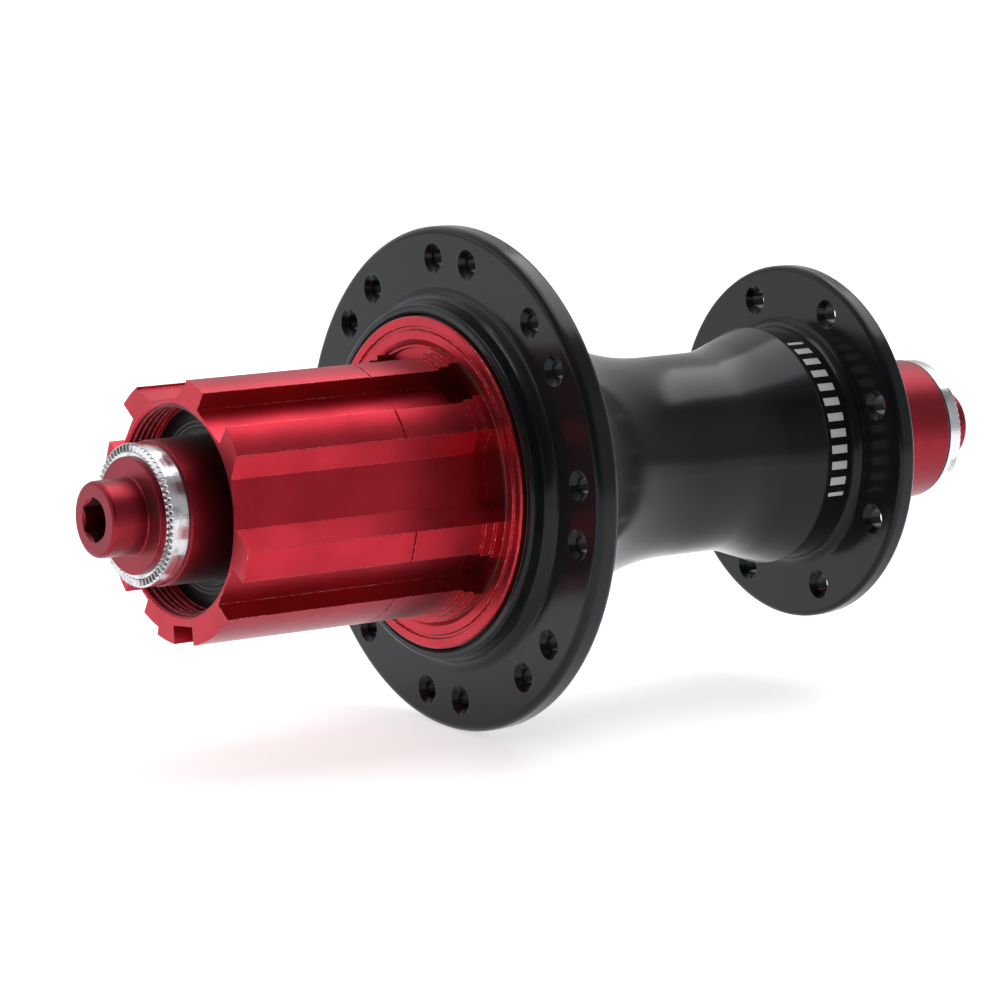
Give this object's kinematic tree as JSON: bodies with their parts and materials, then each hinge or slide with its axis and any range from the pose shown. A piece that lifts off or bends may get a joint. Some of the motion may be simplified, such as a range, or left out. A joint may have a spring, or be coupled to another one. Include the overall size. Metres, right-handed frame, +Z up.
{
  "type": "rear bicycle hub",
  "caption": "Rear road bicycle hub with splined ratchet freehub body, paired spoke holes and quick-release axle ends",
  "frame": {"origin": "on the axle's centre line, midway between the two dropout faces", "axes": "+Y along the axle from the freehub (drive side) to the other side, +Z up, +X to the right seen along +Y"},
  "size_m": [0.0668, 0.1402, 0.0668],
  "materials": {
    "black_anodised": "satin black anodised aluminium, lightly brushed round the axle",
    "red_anodised": "red anodised aluminium, worn to bare metal on sharp edges",
    "bare_aluminium": "turned, uncoated",
    "bright_steel": "bright plated steel, turned",
    "hardened_steel": "ground tool steel",
    "spring_steel": "drawn spring wire",
    "bearing_steel": "ground and polished bearing steel",
    "cage_nylon": "moulded nylon",
    "black_rubber": "matte black nitrile rubber"
  },
  "bodies": {
    "axle": {"axle": "bare_aluminium", "freehub_spacer": "bare_aluminium", "shell_spacer": "bare_aluminium", "drive_end_cap": "red_anodised", "drive_grip_ring": "bright_steel", "drive_grip_washer": "black_rubber", "nds_end_cap": "red_anodised", "nds_grip_ring": "bright_steel", "nds_grip_washer": "black_rubber", "freehub_outer_bearing_inner_race": "bearing_steel", "freehub_inner_bearing_inner_race": "bearing_steel", "shell_drive_bearing_inner_race": "bearing_steel", "shell_nds_bearing_inner_race": "bearing_steel"},
    "shell": {"hub_shell": "black_anodised", "shell_seal": "black_rubber", "ratchet_ring": "hardened_steel", "shell_drive_bearing_outer_race": "bearing_steel", "shell_drive_bearing_seals": "black_rubber", "shell_nds_bearing_outer_race": "bearing_steel", "shell_nds_bearing_seals": "black_rubber"},
    "freehub": {"freehub_body": "red_anodised", "pawl_spring": "spring_steel", "freehub_outer_bearing_outer_race": "bearing_steel", "freehub_outer_bearing_seals": "black_rubber", "freehub_inner_bearing_outer_race": "bearing_steel", "freehub_inner_bearing_seals": "black_rubber"},
    "pawl_1": {"pawl_1": "hardened_steel"},
    "pawl_2": {"pawl_2": "hardened_steel"},
    "pawl_3": {"pawl_3": "hardened_steel"},
    "freehub_outer_bearing_cage": {"freehub_outer_bearing_balls": "bearing_steel", "freehub_outer_bearing_cage": "cage_nylon"},
    "freehub_inner_bearing_cage": {"freehub_inner_bearing_balls": "bearing_steel", "freehub_inner_bearing_cage": "cage_nylon"},
    "shell_drive_bearing_cage": {"shell_drive_bearing_balls": "bearing_steel", "shell_drive_bearing_cage": "cage_nylon"},
    "shell_nds_bearing_cage": {"shell_nds_bearing_balls": "bearing_steel", "shell_nds_bearing_cage": "cage_nylon"}
  },
  "joints": [
    {"name": "shell_spin", "type": "hinge", "parent": "axle", "child": "shell", "pos_m": [0, 0, 0], "axis": [0, 1, 0], "continuous": true},
    {"name": "freehub_spin", "type": "hinge", "parent": "axle", "child": "freehub", "pos_m": [0, 0, 0], "axis": [0, 1, 0], "continuous": true},
    {"name": "pawl_1_swing", "type": "hinge", "parent": "freehub", "child": "pawl_1", "pos_m": [-0.00308, -0.0111, 0.01514], "axis": [0, 1, 0], "range_deg": [-11, 0], "stiffness_Nm_per_rad": 0.01, "springref_deg": -17.19},
    {"name": "pawl_2_swing", "type": "hinge", "parent": "freehub", "child": "pawl_2", "pos_m": [0.01465, -0.0111, -0.0049], "axis": [0, 1, 0], "range_deg": [-11, 0], "stiffness_Nm_per_rad": 0.01, "springref_deg": -17.19},
    {"name": "pawl_3_swing", "type": "hinge", "parent": "freehub", "child": "pawl_3", "pos_m": [-0.01157, -0.0111, -0.01024], "axis": [0, 1, 0], "range_deg": [-11, 0], "stiffness_Nm_per_rad": 0.01, "springref_deg": -17.19},
    {"name": "freehub_outer_bearing_cage_spin", "type": "hinge", "parent": "axle", "child": "freehub_outer_bearing_cage", "pos_m": [0, 0, 0], "axis": [0, 1, 0], "continuous": true},
    {"name": "freehub_inner_bearing_cage_spin", "type": "hinge", "parent": "axle", "child": "freehub_inner_bearing_cage", "pos_m": [0, 0, 0], "axis": [0, 1, 0], "continuous": true},
    {"name": "shell_drive_bearing_cage_spin", "type": "hinge", "parent": "axle", "child": "shell_drive_bearing_cage", "pos_m": [0, 0, 0], "axis": [0, 1, 0], "continuous": true},
    {"name": "shell_nds_bearing_cage_spin", "type": "hinge", "parent": "axle", "child": "shell_nds_bearing_cage", "pos_m": [0, 0, 0], "axis": [0, 1, 0], "continuous": true}
  ],
  "couplings": [
    {"joint": "freehub_outer_bearing_cage_spin", "follows": "freehub_spin", "ratio": 0.55581},
    {"joint": "freehub_inner_bearing_cage_spin", "follows": "freehub_spin", "ratio": 0.55581},
    {"joint": "shell_drive_bearing_cage_spin", "follows": "shell_spin", "ratio": 0.58425},
    {"joint": "shell_nds_bearing_cage_spin", "follows": "shell_spin", "ratio": 0.58139}
  ]
}
